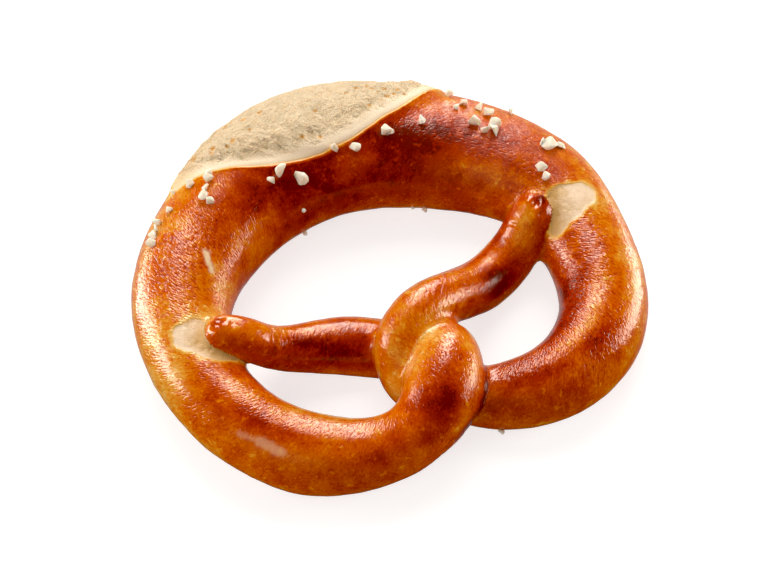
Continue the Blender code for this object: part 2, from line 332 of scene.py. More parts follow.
# how hard each stretch baked
browning = {
    "start": 0.52,
    "patches": (  # run, angle, half length in mm, half width in degrees, how much browner
        # left arm
        (4, 8, 2.2, 18, 0.5), (6, -90, 8, 18, 0.18), (9, -10, 8, 70, -0.12), (10, -54, 8, 24, 0.22),
        (10, 50, 4, 16, 0.2), (24, 6, 12, 16, -0.06), (30, -20, 6, 12, 0.14), (30, 10, 7, 12, -0.08),
        (31, -20, 6, 12, 0.12), (36, -42, 22, 38, 0.38), (40, 40, 22, 26, -0.08), (44, -64, 10, 14, 0.16),
        (50, -96, 12, 20, -0.24), (50, -34, 10, 54, 0.14), (62, 40, 8, 20, -0.16),
        # over the right arm, knob
        (80, 40, 6, 16, 0.18), (88, 54, 8, 26, -0.12), (90, -38, 11, 46, -0.28), (100, -52, 6, 16, -0.12),
        (100, 4, 8, 18, 0.2), (101, -24, 7, 12, 0.14), (101, 97, 8, 16, 0.9), (108, 22, 7, 14, 0.34),
        (110, -10, 9, 20, 0.3), (111, 42, 5, 10, 0.16), (118, 42, 9, 11, 0.06), (131, 34, 9, 24, 0.22),
        (134, -62, 10, 16, -0.24), (134, 40, 6, 10, 0.12),
        # loop, front left
        (142, -58, 12, 12, -0.14), (146, 68, 18, 24, 0.1), (150, -24, 22, 22, -0.16),
        (150, 82, 7, 12, 0.12), (155, 100, 12, 14, -0.1), (156, 36, 9, 14, -0.16),
        (158, -66, 30, 16, -0.16), (166, 8, 10, 20, 0.34), (172, 100, 18, 26, -0.16),
        (178, 40, 18, 22, -0.12), (182, -20, 10, 18, -0.2), (184, 62, 9, 26, 0.12), (186, -62, 10, 26, 0.3),
        (186, 20, 8, 26, 0.1), (192, 84, 14, 30, -0.16),
        # loop, left side
        (202, 24, 12, 32, -0.2), (206, 74, 13, 36, -0.24), (216, -16, 9, 36, -0.06),
        (222, -62, 10, 20, -0.24), (226, -34, 16, 26, -0.12), (231, 34, 12, 20, 0.06),
        (240, 2, 12, 24, 0.1), (240, 60, 16, 24, -0.26), (248, -66, 18, 30, -0.16),
        (250, 26, 10, 22, -0.14), (256, -20, 12, 24, -0.1),
        # belly
        (264, -58, 12, 14, -0.2), (264, -42, 7, 10, 0.16), (272, -84, 12, 12, 0.12),
        (280, -30, 16, 20, 0.22), (300, -64, 50, 44, 0.38), (314, -44, 10, 12, -0.16),
        (316, -104, 46, 16, -0.2), (332, -20, 14, 22, 0.42), (336, -58, 24, 15, 0.12),
        (341, 50, 8, 16, -0.14),
        # right of the split
        (350, -14, 14, 22, 0.1), (352, -46, 16, 14, -0.16), (360, 22, 14, 14, -0.1),
        (366, -80, 26, 28, -0.02), (368, -4, 15, 24, 0.16), (368, 20, 18, 12, -0.14),
        (368, 60, 24, 18, -0.26), (370, 26, 20, 30, 0.15),
        # loop, right side
        (392, 14, 9, 44, -0.2), (400, 80, 8, 14, -0.2), (404, -62, 9, 30, 0.04), (408, -18, 9, 20, 0.12),
        (410, -38, 10, 14, -0.1), (410, 8, 8, 50, -0.08), (412, 36, 12, 30, -0.16),
        (426, 40, 16, 14, -0.14), (428, -74, 16, 26, 0.24), (430, -34, 13, 14, 0.26),
        (436, 66, 20, 20, -0.14),
        # loop, front right
        (446, 12, 10, 14, 0.24), (450, -17, 16, 14, -0.26), (452, -58, 16, 26, 0.30),
        (452, 38, 14, 18, 0.1), (464, 102, 12, 14, -0.18), (466, 24, 10, 10, -0.06), (472, 4, 14, 16, 0.24),
        (472, 58, 20, 26, 0.14), (474, -62, 10, 16, -0.28), (474, -34, 16, 18, 0.1), (486, 34, 14, 26, 0.1),
        # twist and right arm
        (514, 78, 10, 16, -0.14), (520, -20, 8, 14, 0.14), (526, 12, 13, 60, -0.16), (530, 40, 5, 12, 0.12),
        (540, -10, 9, 16, 0.12), (545, 0, 8, 12, -0.08), (546, 34, 14, 22, -0.08),
        (547, -40, 12, 18, -0.26),
        # right tip
        (558, -58, 10, 16, 0.16), (566, -84, 12, 20, -0.16), (566, 16, 10, 12, -0.2),
        (568, -62, 10, 12, 0.34), (568, -34, 12, 22, 0.55), (570, 40, 8, 12, 0.2), (575, 0, 10, 14, -0.1),
        (576, 64, 8, 12, -0.2), (588, 6, 8, 28, -0.1), (590, 46, 6, 14, 0.12), (591, 60, 6, 18, 0.26),
        (592, -78, 10, 14, 0.24), (594, -62, 7, 26, 0.2), (602.2, -12, 2.6, 30, 0.8),
    ),
    "underside": 0.1, "undersideFrom": (125, 150),
    "clouds": ((13.0, 0.16, 41), (5.0, 0.14, 42)),  # size, depth, seed
    "jointReach": 2.6, "jointPale": 0.16,
}

# how deeply the skin wrinkled
wrinkles = {
    "base": 0.26,
    "patches": (  # run, angle, half length in mm, half width in degrees, how much deeper
        (372, 0, 26, 80, 0.5), (410, 0, 30, 60, 0.75), (446, -14, 22, 34, 0.6), (476, -30, 20, 30, 0.5),
        (240, 0, 14, 50, 1.0), (212, 0, 20, 40, 0.8), (222, -60, 16, 22, 0.5), (160, -16, 34, 20, 0.5),
        (92, -10, 10, 40, 0.6), (100, 56, 10, 16, 0.4), (534, 10, 12, 50, 0.45), (562, -10, 18, 34, 0.5),
        (44, -10, 22, 30, 0.3), (336, 20, 14, 40, 0.4), (190, 66, 34, 16, 0.2), (34, 50, 16, 20, 0.2),
        (458, 44, 12, 16, 0.4),
    ),
    "lengthwise": ((360, 10, 22, 60, 1.2),),  # where they run along the rope
    "lean": 0.5,
    "least": 0.1, "most": 1.6,
}

# relief of the crust
crust = {
    "unevenSize": 27.0, "unevenRise": 0.5,
    "lumpSize": 9.5, "lumpRise": 0.2,
    "dimpleSize": 3.6, "dimpleRise": 0.06,
    "foldSpacing": 2.6, "foldLength": 9.0, "foldRise": 0.05,
    "seamWidth": 1.0, "seamDepth": 0.35,
    "lipFrom": 0.6, "lipWidth": 0.7, "lipRise": 0.22,  # the crust's edge along the split
    "overCrumb": (-0.2, 0.6),  # it ends between these, in mm inside the crumb's edge
    "overTray": (0.2, 2.5), "underShare": 0.15,  # relief is full above this height, and weak under it
}


def shuffle(x, y, z, seed):  # a whole number that looks random, the same for the same place each time
    mixed = (x * 73856093) ^ (y * 19349663) ^ (z * 83492791) ^ (seed * 2654435)
    mixed = ((mixed ^ (mixed >> 13)) * 1274126177) & 0x7FFFFFFF
    return mixed ^ (mixed >> 15)


def cloud(points, size, seed):  # smooth random hills and hollows about one size across, from -1 to 1
    cells = points / size + 31.7 * seed
    corner = np.floor(cells).astype(np.int64)
    part = cells - corner
    fade = part**3 * (part * (part * 6 - 15) + 10)
    total = np.zeros(len(points))
    for dx in (0, 1):
        for dy in (0, 1):
            for dz in (0, 1):
                mixed = shuffle(*(corner + (dx, dy, dz)).T, seed)
                slopes = np.stack([(mixed & 1023), (mixed >> 10) & 1023, (mixed >> 20) & 1023], 1) / 511.5 - 1
                share = np.prod(np.where((dx, dy, dz), fade, 1 - fade), axis=1)
                total += share * ((part - (dx, dy, dz)) * slopes).sum(1)
    return np.clip(total * 1.6, -1, 1)


def addClouds(points, values, layers):  # layers: size, depth, seed
    for size, depth, seed in layers:
        values = values + depth * cloud(points, size, seed)
    return values


def drawnCloud(along, across, seed, layer=0):  # a cloud laid out on the skin, drawn out as its scales say
    return cloud(np.stack([along, across, along * 0 + layer], 1), 1.0, seed)


def burstBubbles(along, across, seed, rarity):  # round hollows side by side, depth 0 to 1, fewer deep if rare
    corner = np.floor(np.stack([along, across], 1)).astype(np.int64)
    nearest = np.full(len(along), 9.0)
    depth = np.zeros(len(along))
    for dx in (-1, 0, 1):
        for dy in (-1, 0, 1):
            x, y = (corner + (dx, dy)).T
            mixed = shuffle(x, y, 0, seed)
            away = np.hypot(along - x - (mixed & 1023) / 1023, across - y - ((mixed >> 10) & 1023) / 1023)
            depth = np.where(away < nearest, (((mixed >> 20) & 1023) / 1023) ** rarity, depth)
            nearest = np.minimum(nearest, away)
    return depth * np.sqrt(np.clip(1 - (nearest / 0.6) ** 2, 0, 1))


def smoothStep(value, low, high):
    share = np.clip((value - low) / (high - low), 0, 1)
    return share * share * (3 - 2 * share)


def roundOutline(outline, turns=3):  # the outline with its corners cut round
    points = np.array(outline, float)
    for _ in range(turns):
        following = np.roll(points, -1, axis=0)
        cuts = points * 0.75 + following * 0.25, points * 0.25 + following * 0.75
        points = np.stack(cuts, 1).reshape(-1, 2)
    return points


def depthInside(places, outline):  # distance to the outline, positive inside it
    start, end = outline, np.roll(outline, -1, axis=0)
    side = end - start
    offset = places[:, None] - start
    share = np.clip((offset * side).sum(2) / (side**2).sum(1), 0, 1)
    away = np.linalg.norm(offset - share[..., None] * side, axis=2).min(1)
    crossing = (start[:, 1] > places[:, 1:]) != (end[:, 1] > places[:, 1:])
    climb = np.where(side[:, 1] == 0, 1e-9, side[:, 1])
    level = start[:, 0] + (places[:, 1:] - start[:, 1]) * side[:, 0] / climb
    inside = (crossing & (places[:, :1] < level)).sum(1) % 2 == 1
    return np.where(inside, away, -away)


def readSkin(points, laid):  # where every point of the skin lies in the rope's own terms
    run, angle, apart, beside = findOnRope(points, laid)
    radius = (laid["width"] + laid["height"]) / 4
    girth = np.interp(run, laid["run"], radius) * math.pi / 180  # mm for a degree
    skin = {"run": run, "angle": angle, "apart": apart, "beside": beside, "girth": girth}
    skin["arc"] = angle * girth
    skin["fused"] = twistShare(skin)
    lipRuns, lipAngles = np.array(split["lowerLip"], float).T
    lower = smoothCurve(lipRuns, lipAngles[:, None], np.clip(run, lipRuns[0], lipRuns[-1]))[:, 0]
    opening = np.sin(math.pi * np.clip((run - split["from"]) / (split["to"] - split["from"]), 0, 1))
    upper = split["tipsDeg"] + (split["upperDeg"] - split["tipsDeg"]) * opening
    ragged = addClouds(points, 0, split["ragged"])
    skin["fromLower"] = (angle - lower) * girth + ragged
    skin["fromUpper"] = (upper - angle) * girth + ragged * 2
    toEnds = np.minimum(run - split["from"] + 2, split["crumbTo"] - run + ragged)
    skin["crumb"] = np.minimum(np.minimum(skin["fromLower"], skin["fromUpper"]), toEnds)
    skin["window"] = np.full(len(points), windows["farOutside"])
    for name in ("left", "right"):
        near = np.abs(run - windows[name]["near"]) < windows["reach"]
        near &= (np.abs(angle) < windows["within"]) & (points[:, 2] > windows["above"])
        depth = depthInside(points[near, :2], roundOutline(windows[name]["outline"]))
        skin["window"][near] = addClouds(points[near], depth, windows["ragged"])
    return skin


def markRise(skin):
    run, angle, girth = skin["run"], skin["angle"], skin["girth"]
    rise = np.zeros(len(run))
    for sign, kind in ((-1, "dents"), (1, "swells")):
        for atRun, atAngle, radius, depth in marks[kind]:
            away = ((run - atRun) ** 2 + ((angle - atAngle) * girth) ** 2) / radius**2
            rise += sign * depth * np.exp(-away)
    rimAt, fade = marks["creaseRimAt"], marks["creaseEnds"]
    drawnOut = np.stack([skin["arc"], run * 0.2, run * 0], 1)
    waver = cloud(drawnOut, marks["waverSize"], 11) * marks["creaseWaver"]
    for atRun, fromAngle, toAngle, lean, width, depth in marks["creases"]:
        share = (angle - fromAngle) / (toAngle - fromAngle)
        away = (run - atRun - lean * (share - 0.5) - waver) / width
        ends = smoothStep(share, 0, fade) * smoothStep(1 - share, 0, fade)
        rise -= depth * ends * np.exp(-(away**2))
        rims = np.exp(-((away - rimAt) ** 2)) + np.exp(-((away + rimAt) ** 2))
        rise += depth * marks["creaseRim"] * ends * rims
    return rise


def paleScuffsAndPaintedGlints(points, skin):  # where the skin was rubbed or tore and stayed pale, and where a highlight is painted pale on the front left loop, 0 to 1
    pale = np.zeros(len(points))
    for fromRun, fromAngle, toRun, toAngle, halfWidth, strength in marks["scuffsAndPaintedGlints"]:
        along, across = skin["run"] - fromRun, (skin["angle"] - fromAngle) * skin["girth"]
        girth = np.median(skin["girth"][np.abs(along) < 2])
        side = np.array([toRun - fromRun, (toAngle - fromAngle) * girth])
        share = np.clip((along * side[0] + across * side[1]) / (side**2).sum(), 0, 1)
        away = np.hypot(along - share * side[0], across - share * side[1])
        away += addClouds(points, 0, marks["scuffAndGlintRagged"]) * halfWidth
        soft = [part * halfWidth for part in marks["scuffAndGlintEdge"]]
        pale = np.maximum(pale, strength * smoothStep(halfWidth - away, *soft))
    return pale


def crumbRelief(points, skin):  # torn crumb: ledges, shreds across them, burst bubbles, toasted pits
    run, low, high = skin["run"], skin["fromLower"], skin["fromUpper"]
    inside = smoothStep(skin["crumb"], *split["inside"])
    tornFrom, tornTo = (split["smoothBand"] + step for step in split["tornFrom"])
    torn = smoothStep(addClouds(points, low, split["tornRagged"]), tornFrom, tornTo)
    torn *= smoothStep(high, *split["tornBelowTop"]) * smoothStep(skin["crumb"], *split["tornInside"])
    torn *= inside
    driftAlong, driftAcross = cloud(points, split["drift"], 28), cloud(points, split["drift"], 29)

    leaning = low + run * split["ledgeLean"]
    ledges = drawnCloud(run / split["ledgeLong"], leaning / split["ledgeWide"], 21)
    ledges = np.sign(ledges) * np.abs(ledges) ** split["ledgeSharp"]
    ledgeShare = split["ledgeLow"] + (1 - split["ledgeLow"]) * smoothStep(high, *split["ledgeFull"])
    leaning = run + low * split["shredLean"] + driftAlong
    shreds = drawnCloud(leaning / split["shredWide"], low / split["shredLong"], 22, layer=5)
    trough = np.exp(-(((low - split["troughFromLip"]) / split["troughReach"]) ** 2))
    shredShare = split["shredOnTop"] + trough
    burst = burstBubbles((run + driftAlong) / split["bubbleLong"],
                         (low + driftAcross) / split["bubbleWide"], 24, 2)
    froth = burstBubbles((run + 0.5 * driftAlong) / split["frothLong"],
                         (low + 0.5 * driftAcross) / split["frothWide"], 25, 1)
    ragged = addClouds(points, 0, split["pitRagged"])
    pits = np.zeros(len(run))
    for atRun, atAngle, radius in split["pits"]:
        away = np.hypot(run - atRun, (skin["angle"] - atAngle) * skin["girth"]) / radius
        pits = np.maximum(pits, smoothStep(ragged - away, *split["pitEdge"]))

    rise = split["ledgeRise"] * ledges * ledgeShare + split["shredRise"] * shreds * shredShare
    rise -= split["bubbleDepth"] * burst + split["frothDepth"] * froth
    rise = torn * rise - split["pitDepth"] * pits * inside
    roll = np.sin(math.pi * np.clip(low / split["smoothBand"], 0, 1))
    rise += inside * split["bandRise"] * roll * smoothStep(skin["crumb"], 0, 2)
    rise -= inside * split["lipStep"] * np.exp(-((skin["crumb"] / split["lipStepWidth"]) ** 2))
    skin["torn"], skin["pores"] = torn, pits * inside
    # painted light: the torn crumb's hollows are coloured lighter, to offset the shade that falls in them
    deep = split["hollowBase"] + split["hollowBubble"] * burst + split["hollowFroth"] * froth
    deep += split["hollowLedge"] * ledges + split["hollowShred"] * shreds * shredShare
    skin["hollowWithPaintedLight"] = torn * np.clip(deep, 0, 1)
    return rise


def nearJoint(skin, reach):  # 1 where the next strand touches, fading over the reach
    return np.exp(-np.clip(skin["apart"], 0, rope["farOff"]) / reach)


def crustRelief(points, skin):
    bare = 1 - smoothStep(skin["crumb"], *crust["overCrumb"])
    folds = drawnCloud(skin["run"] / crust["foldSpacing"], skin["arc"] / crust["foldLength"], 34)
    rise = crust["unevenRise"] * cloud(points, crust["unevenSize"], 31)
    rise += crust["lumpRise"] * cloud(points, crust["lumpSize"], 32)
    rise += bare * crust["dimpleRise"] * cloud(points, crust["dimpleSize"], 33)
    rise += bare * crust["foldRise"] * folds
    rise -= crust["seamDepth"] * (1 - skin["fused"]) * np.exp(-((skin["apart"] / crust["seamWidth"]) ** 2))
    sunk = smoothStep(skin["window"], *windows["edge"])
    rise -= sunk * (windows["sunk"] + bare * windows["flattened"] * crust["lumpRise"])
    rise += windows["rim"] * np.exp(-((skin["window"] / windows["rimWidth"]) ** 2))
    rubbed = sunk * (windows["rubAll"] + nearJoint(skin, windows["rubReach"]))
    pits = smoothStep(cloud(points, windows["pitSize"], 51), *windows["pitEdge"])
    rise -= windows["pitDepth"] * rubbed * pits
    lifted = np.exp(-(((skin["crumb"] + crust["lipFrom"]) / crust["lipWidth"]) ** 2))
    return rise + crust["lipRise"] * lifted


def brownness(points, skin):
    level = np.full(len(points), browning["start"])
    level = addPatches(skin, level, browning["patches"])
    level = addClouds(points, level, browning["clouds"])
    level += browning["underside"] * smoothStep(np.abs(skin["angle"]), *browning["undersideFrom"])
    return level - browning["jointPale"] * nearJoint(skin, browning["jointReach"])


def addPatches(skin, values, patches):  # soft round patches on the rope
    for atRun, atAngle, halfRun, halfAngle, more in patches:
        away = ((skin["run"] - atRun) / halfRun) ** 2 + ((skin["angle"] - atAngle) / halfAngle) ** 2
        values = values + more * np.exp(-0.7 * away)
    return values


def wrinkling(skin):  # how deeply the skin wrinkled, and where the wrinkles run along the rope
    depth = addPatches(skin, np.full(len(skin["run"]), wrinkles["base"]), wrinkles["patches"])
    lengthwise = addPatches(skin, np.zeros(len(skin["run"])), wrinkles["lengthwise"])
    return np.clip(depth, wrinkles["least"], wrinkles["most"]), np.clip(lengthwise, 0, 1)


finer = {  # where the mesh is cut finer: mm from the crumb, a window and each tip
    "crumb": -1.5, "window": -1.2, "leftTip": 30, "rightTip": 22,
    "armFolds": (538, 22, 90),  # run, reach along it, angle
    "crumbAgain": -0.6,  # cut a second time
    "scuffAndPaintedGlint": 0.01,  # how pale a scuff, and the painted highlight, has to be
}


def cutFiner(mesh, chosen):  # halves the edges of the chosen faces
    sheet = bmesh.new()
    sheet.from_mesh(mesh)
    sheet.faces.ensure_lookup_table()
    edges = {edge for i in chosen for edge in sheet.faces[i].edges}
    bmesh.ops.subdivide_edges(sheet, edges=list(edges), cuts=1, use_grid_fill=True, smooth=0.0)
    sheet.to_mesh(mesh)
    sheet.free()


def facePlaces(mesh, values):  # a value of each face, from its first corner
    first = np.empty(len(mesh.polygons), np.int32)
    mesh.polygons.foreach_get("loop_start", first)
    corners = np.empty(len(mesh.loops), np.int32)
    mesh.loops.foreach_get("vertex_index", corners)
    return values[corners[first]]


def twistShare(skin):  # 1 in the valley where the two strands of the twist grew together
    lower, upper = rope["twist"]
    fade = rope["twistFade"]

    def within(run, stretch):
        start, end = stretch
        return smoothStep(run, start - fade, start + fade) * smoothStep(end + fade - run, 0, 2 * fade)

    run, beside = skin["run"], skin["beside"]
    both = within(run, lower) * within(beside, upper) + within(run, upper) * within(beside, lower)
    return both * (np.abs(skin["angle"]) < rope["twistWithin"])


def fuseTwist(pretzel, skin):  # fills the valley between the two strands of the twist with dough
    near = skin["fused"] * np.exp(-((np.clip(skin["apart"], 0, rope["farOff"]) / rope["twistReach"]) ** 2))
    valley = pretzel.vertex_groups.new(name="valley")
    for level in range(1, 11):  # a group takes one weight for many points, so in steps
        chosen = np.flatnonzero(np.round(near * 10) == level)
        if len(chosen):
            valley.add(chosen.tolist(), level / 10, "REPLACE")
    soften = pretzel.modifiers.new("fillValley", "SMOOTH")
    soften.factor = 0.5
    soften.iterations = rope["twistTurns"]
    soften.vertex_group = "valley"
    filled = settle(pretzel)
    pretzel.vertex_groups.clear()
    return filled


def giveAttribute(mesh, name, values):
    kind = "FLOAT_VECTOR" if values.ndim == 2 else "FLOAT"
    attribute = mesh.attributes.new(name, kind, "POINT")
    attribute.data.foreach_set("vector" if values.ndim == 2 else "value", values.astype(np.float32).ravel())


def bakeBody(laid):
    pretzel = proveRope(rollRope(laid))
    mesh = pretzel.data
    report(f"rope rolled and proved, {len(mesh.polygons)} faces")
    points, _ = readMesh(mesh)
    skin = readSkin(points, laid)
    mesh = fuseTwist(pretzel, skin)
    fine = (skin["crumb"] > finer["crumb"]) | (skin["window"] > finer["window"])
    fine |= (skin["run"] < finer["leftTip"]) | (skin["run"] > laid["run"][-1] - finer["rightTip"])
    foldRun, foldReach, foldAngle = finer["armFolds"]
    fine |= (np.abs(skin["run"] - foldRun) < foldReach) & (np.abs(skin["angle"]) < foldAngle)
    fine |= paleScuffsAndPaintedGlints(points, skin) > finer["scuffAndPaintedGlint"]
    cutFiner(mesh, np.flatnonzero(facePlaces(mesh, fine)))
    skin = readSkin(readMesh(mesh)[0], laid)
    cutFiner(mesh, np.flatnonzero(facePlaces(mesh, skin["crumb"] > finer["crumbAgain"])))
    points, normals = readMesh(mesh)
    skin = readSkin(points, laid)
    report(f"strands found, {len(mesh.polygons)} faces")
    rise = crustRelief(points, skin) + crumbRelief(points, skin) + markRise(skin)
    share = crust["underShare"] + (1 - crust["underShare"]) * smoothStep(points[:, 2], *crust["overTray"])
    points = points + normals * (rise * share)[:, None]
    points[:, 2] = np.maximum(points[:, 2], 0)
    writeMesh(mesh, points)
    mesh.shade_smooth()
    skin["browning"], skin["scuffedAndPaintedGlint"] = brownness(points, skin), paleScuffsAndPaintedGlints(points, skin)
    skin["wrinkled"], skin["lengthwise"] = wrinkling(skin)
    skin["nearTip"] = nearJoint(skin, windows["rubReach"])
    leaning = skin["run"] - wrinkles["lean"] * skin["arc"]
    skin["grain"] = np.stack([leaning, skin["arc"], leaning * 0], 1)
    for name in ("browning", "scuffedAndPaintedGlint", "wrinkled", "lengthwise", "nearTip", "grain",
                 "crumb", "torn", "hollowWithPaintedLight", "pores", "window", "fromUpper"):
        giveAttribute(mesh, name, skin[name])
    report("skin shaped")
    return pretzel


# nodes: small helpers, then the effects that several finishes share
def addNode(tree, kind, **settings):
    node = tree.nodes.new(kind)
    for name, value in settings.items():
        setattr(node, name, value)
    return node


def feed(tree, socket, value):  # a number, a colour or another node's output
    if isinstance(value, (int, float)):
        socket.default_value = value
    elif isinstance(value, tuple):
        socket.default_value = (*value, 1)
    else:
        tree.links.new(value, socket)


def mathNode(tree, operation, *values, clamp=False):
    node = addNode(tree, "ShaderNodeMath", operation=operation, use_clamp=clamp)
    for socket, value in zip(node.inputs, values):
        feed(tree, socket, value)
    return node.outputs[0]


def times(tree, first, second):
    return mathNode(tree, "MULTIPLY", first, second)


def addShare(tree, value, share, base, clamp=False):  # the base and a share of the value
    return mathNode(tree, "MULTIPLY_ADD", value, share, base, clamp=clamp)


def vectorNode(tree, operation, first, second, socket=1):
    node = addNode(tree, "ShaderNodeVectorMath", operation=operation)
    tree.links.new(first, node.inputs[0])
    tree.links.new(second, node.inputs[socket])
    return node.outputs[0]


def mixColour(tree, share, first, second):
    node = addNode(tree, "ShaderNodeMix", data_type="RGBA")
    for place, value in ((0, share), (6, first), (7, second)):  # factor, then the two colour sockets
        feed(tree, node.inputs[place], value)
    return node.outputs[2]


def readAttribute(tree, name, output="Fac"):
    return addNode(tree, "ShaderNodeAttribute", attribute_name=name).outputs[output]


def ramp(tree, value, stops):
    node = addNode(tree, "ShaderNodeValToRGB")
    band = node.color_ramp
    while len(band.elements) < len(stops):
        band.elements.new(0.5)
    for element, (place, colour) in zip(band.elements, stops):
        element.position = place
        element.color = (*colour, 1)
    tree.links.new(value, node.inputs[0])
    return node.outputs[0]


def rangeOf(tree, value, low, high):  # soft step from 0 at low to 1 at high
    node = addNode(tree, "ShaderNodeMapRange", interpolation_type="SMOOTHSTEP")
    for socket, number in zip(node.inputs, (value, low, high)):
        feed(tree, socket, number)
    return node.outputs[0]


def bumpFrom(tree, height, distance):
    node = addNode(tree, "ShaderNodeBump")
    node.inputs["Distance"].default_value = distance
    tree.links.new(height, node.inputs["Height"])
    return node.outputs[0]


def newFinish(name):  # a material, its tree and its shader
    material = bpy.data.materials.new(name)
    material.use_nodes = True
    return material, material.node_tree, material.node_tree.nodes["Principled BSDF"]


def newGroup(name, output, **inputs):  # plain values in, one value out
    group = bpy.data.node_groups.new(name, "ShaderNodeTree")
    for socketName, default in inputs.items():
        socket = group.interface.new_socket(socketName, in_out="INPUT", socket_type="NodeSocketFloat")
        socket.default_value = default
    group.interface.new_socket(output, in_out="OUTPUT", socket_type="NodeSocketFloat")
    given = addNode(group, "NodeGroupInput").outputs
    return group, given, addNode(group, "NodeGroupOutput").inputs[output]


def useGroup(tree, group, **values):
    node = addNode(tree, "ShaderNodeGroup", node_tree=group)
    for name, value in values.items():
        feed(tree, node.inputs[name], value)
    return node.outputs[0]


def noiseIn(tree, vector, scale, detail=2.0, roughness=0.5):
    node = addNode(tree, "ShaderNodeTexNoise")
    for name, value in (("Vector", vector), ("Scale", scale), ("Detail", detail), ("Roughness", roughness)):
        feed(tree, node.inputs[name], value)
    return node.outputs["Fac"]


def objectPlace(tree):
    return addNode(tree, "ShaderNodeTexCoord").outputs["Object"]


def perMetre(tree, size):  # noise scale for clouds of a size in mm
    return mathNode(tree, "DIVIDE", 1 / mm, size)


def makeMottle():  # uneven tone: two sizes of cloud, centred on 0
    group, given, tone = newGroup("mottle", "Tone", Size=4.0, Fine=1.2, Share=0.4)
    place = objectPlace(group)
    broad, fine = (mathNode(group, "SUBTRACT", noiseIn(group, place, perMetre(group, given[name])), 0.5)
                   for name in ("Size", "Fine"))
    group.links.new(addShare(group, broad, 2.0, times(group, times(group, fine, given["Share"]), 2.0)), tone)
    return group


def makeCrinkle():  # fine ridged folds of the skin, drawn out across the rope, in mm of height
    group, given, height = newGroup("crinkle", "Height", Spacing=0.9, Length=2.6, Depth=0.03, Waver=2.0,
                                    Sharpness=0.5)
    warp = addNode(group, "ShaderNodeTexNoise")
    warp.inputs["Scale"].default_value = 330
    group.links.new(objectPlace(group), warp.inputs["Vector"])
    swayed = vectorNode(group, "SCALE", warp.outputs["Color"], given["Waver"], socket="Scale")
    bent = vectorNode(group, "ADD", swayed, readAttribute(group, "grain", "Vector"))
    sizes = addNode(group, "ShaderNodeCombineXYZ")
    for socket, name in zip(sizes.inputs, ("Spacing", "Length")):
        group.links.new(mathNode(group, "DIVIDE", 1.0, given[name]), socket)
    folds = noiseIn(group, vectorNode(group, "MULTIPLY", bent, sizes.outputs[0]), 1.0, 1.5, 0.55)
    ridges = mathNode(group, "ABSOLUTE", mathNode(group, "SUBTRACT", folds, 0.5))
    both = addShare(group, times(group, ridges, given["Sharpness"]), -2.0, folds)
    group.links.new(times(group, both, given["Depth"]), height)
    return group


def makeSpecks():  # scattered uneven specks: the peaks of a fine cloud
    group, given, mask = newGroup("specks", "Mask", Size=1.0, Threshold=0.6, Softness=0.08)
    peaks = noiseIn(group, objectPlace(group), perMetre(group, given["Size"]), 1.5, 0.6)
    above = mathNode(group, "SUBTRACT", peaks, given["Threshold"])
    group.links.new(mathNode(group, "DIVIDE", above, given["Softness"], clamp=True), mask)
    return group


crustFinish = {
    "tones": (  # browning from 0, hardly baked, to 1, nearly scorched
        (0.0, (0.84, 0.48, 0.13)), (0.16, (0.80, 0.35, 0.04)), (0.32, (0.74, 0.205, 0.010)),
        (0.46, (0.67, 0.120, 0.0045)), (0.60, (0.55, 0.066, 0.003)), (0.74, (0.42, 0.032, 0.002)),
        (0.88, (0.32, 0.0170, 0.002)), (1.0, (0.16, 0.008, 0.002)),
    ),
    "mottle": {"Size": 3.2, "Fine": 0.8, "Share": 0.8},
    "wrinkles": {"Spacing": 0.62, "Length": 1.9, "Depth": 0.32, "Waver": 0.7, "Sharpness": 0.25},
    "turned": {"Spacing": 2.2, "Length": 0.62, "Depth": 0.32, "Waver": 0.7, "Sharpness": 0.25},
    "folds": {"Spacing": 3.0, "Length": 1.6, "Depth": 0.08, "Waver": 2.4, "Sharpness": 0.5},
    "streaks": {"Spacing": 1.5, "Length": 2.6, "Depth": 1.0, "Waver": 3.0, "Sharpness": 1.0},
    "bubbles": {"Size": 2.4, "Threshold": 0.62, "Softness": 0.1},
    # how much browner each makes it
    "mottleTone": 0.24, "foldTone": -2.0, "foldMiddle": 0.2, "streakTone": -0.2,
    "lipTone": -0.55, "windowTone": -0.42, "bubbleTone": -0.2,
    "streakEdge": (0.40, 0.49), "streakWhere": (0.0, 0.35),
    "lipReach": (-1.5, 0.1), "windowReach": (-1.6, 0.1),  # mm outside the crumb and the windows
    "bubbleRise": 0.05,
    "roughness": 0.155, "mottleRough": 0.08, "turnedRough": 0.14,
    "glossTint": (1.0, 0.94, 0.84), "specular": 0.8,
}
crumbFinish = {
    # the hollows' colour is lighter than the ridges': painted light that offsets their shade
    "band": (0.95, 0.76, 0.54), "ridge": (0.92, 0.71, 0.46), "hollowWithPaintedLight": (1.0, 0.79, 0.50),
    "fleck": (0.88, 0.55, 0.24), "upper": (0.85, 0.58, 0.30), "pore": (0.88, 0.44, 0.09),
    "edge": (0.90, 0.48, 0.10), "window": (0.87, 0.64, 0.43), "windowStain": (0.62, 0.34, 0.10),
    # scuffs, and the painted highlight on the front left loop, take this pale colour
    "scuffAndPaintedGlint": (0.90, 0.62, 0.38),
    "mottle": {"Size": 1.9, "Fine": 0.55, "Share": 1.2},
    "windowMottle": {"Size": 4.5, "Fine": 1.1, "Share": 0.35},
    "fleckShare": 0.55, "upperShare": 0.85, "upperReach": (12.0, 3.0), "poreShare": 0.95,
    "rubStain": 1.6, "windowUneven": 0.8,
    "matte": 0.5, "windowMatte": 0.7,  # roughness over the crust's, and the windows' share of it
    "bandDepth": 0.04, "tornDepth": 0.32, "hollowDepth": 0.4,  # in mm
}


